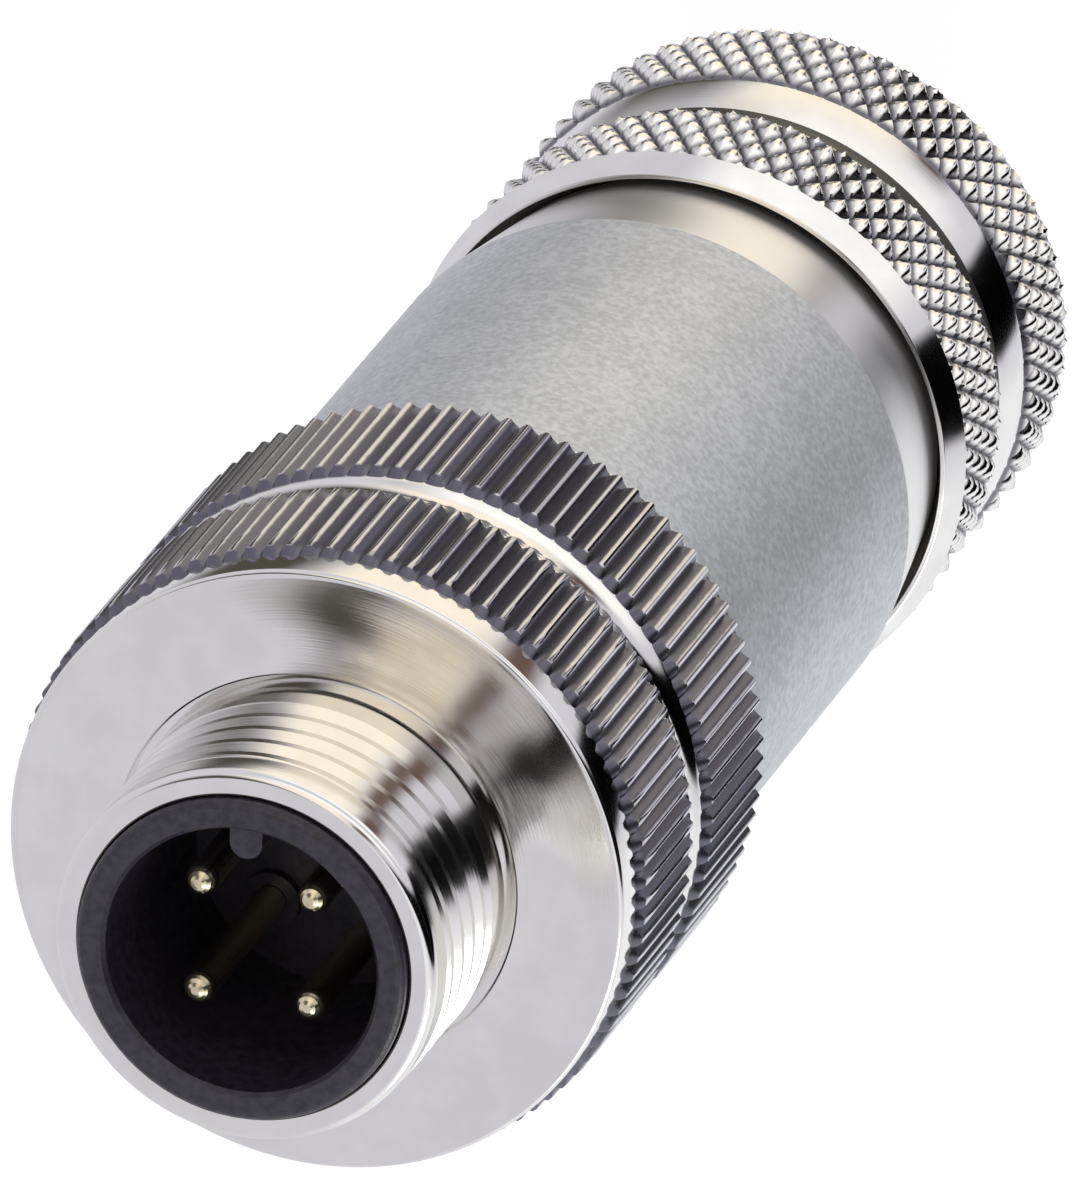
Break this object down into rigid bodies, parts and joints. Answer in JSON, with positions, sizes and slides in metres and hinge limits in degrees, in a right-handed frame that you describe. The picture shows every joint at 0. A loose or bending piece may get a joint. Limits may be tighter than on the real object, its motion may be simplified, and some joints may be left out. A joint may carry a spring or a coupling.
{
  "type": "field-wireable screw plug connector",
  "caption": "Round shielded screw plug with a threaded coupling nut, knurled bands, a smooth body sleeve, a knurled cable gland and recessed contact pins.",
  "frame": {"origin": "centre of the gland nut's rear face", "axes": "+Z along the plug's axis towards the contact pins, +Y towards the key rib"},
  "size_m": [0.0198, 0.0196, 0.0541],
  "materials": {
    "plated_nut": "bright nickel plate over turned and knurled brass",
    "plated_gland": "bright nickel plate over diamond-knurled brass",
    "satin_sleeve": "satin nickel plate, finely blasted",
    "plated_inner": "dull nickel plate",
    "insert_plastic": "moulded black plastic with a slight sheen",
    "pin_plating": "gold plate over brass",
    "screw_steel": "plain steel",
    "seal_rubber": "matt black rubber",
    "liner_plastic": "natural white plastic"
  },
  "bodies": {
    "front": {"contact_insert": "insert_plastic", "contact_pin_1": "pin_plating", "contact_pin_2": "pin_plating", "contact_pin_3": "pin_plating", "contact_pin_4": "pin_plating", "terminal_screw_1": "screw_steel", "terminal_screw_2": "screw_steel", "terminal_screw_3": "screw_steel", "terminal_screw_4": "screw_steel", "front_carrier": "plated_inner", "nut_retaining_ring": "screw_steel", "carrier_seal": "seal_rubber"},
    "coupling": {"coupling_nut": "plated_nut"},
    "cable_clamp": {"cable_seal": "seal_rubber", "clamp_cage": "liner_plastic", "shield_ring": "plated_inner", "insulating_liner": "liner_plastic"},
    "sleeve": {"body_sleeve": "satin_sleeve"},
    "gland_thrust": {"thrust_washer": "screw_steel"},
    "gland": {"gland_nut": "plated_gland"}
  },
  "joints": [
    {"name": "coupling_spin", "type": "hinge", "parent": "front", "child": "coupling", "pos_m": [0, 0, 0.0404], "axis": [0, 0, 1], "continuous": true},
    {"name": "clamp_travel", "type": "slide", "parent": "front", "child": "cable_clamp", "axis": [0, 0, -1], "range_m": [0, 0.005]},
    {"name": "sleeve_turn", "type": "hinge", "parent": "cable_clamp", "child": "sleeve", "pos_m": [0, 0, 0.022], "axis": [0, 0, -1], "range_deg": [0, 1800]},
    {"name": "gland_travel", "type": "slide", "parent": "sleeve", "child": "gland_thrust", "axis": [0, 0, -1], "range_m": [0, 0.005]},
    {"name": "gland_turn", "type": "hinge", "parent": "gland_thrust", "child": "gland", "pos_m": [0, 0, 0.006], "axis": [0, 0, -1], "range_deg": [0, 1800]}
  ],
  "couplings": [
    {"joint": "clamp_travel", "follows": "sleeve_turn", "m_per_rad": 0.00015915},
    {"joint": "gland_travel", "follows": "gland_turn", "m_per_rad": 0.00015915}
  ]
}
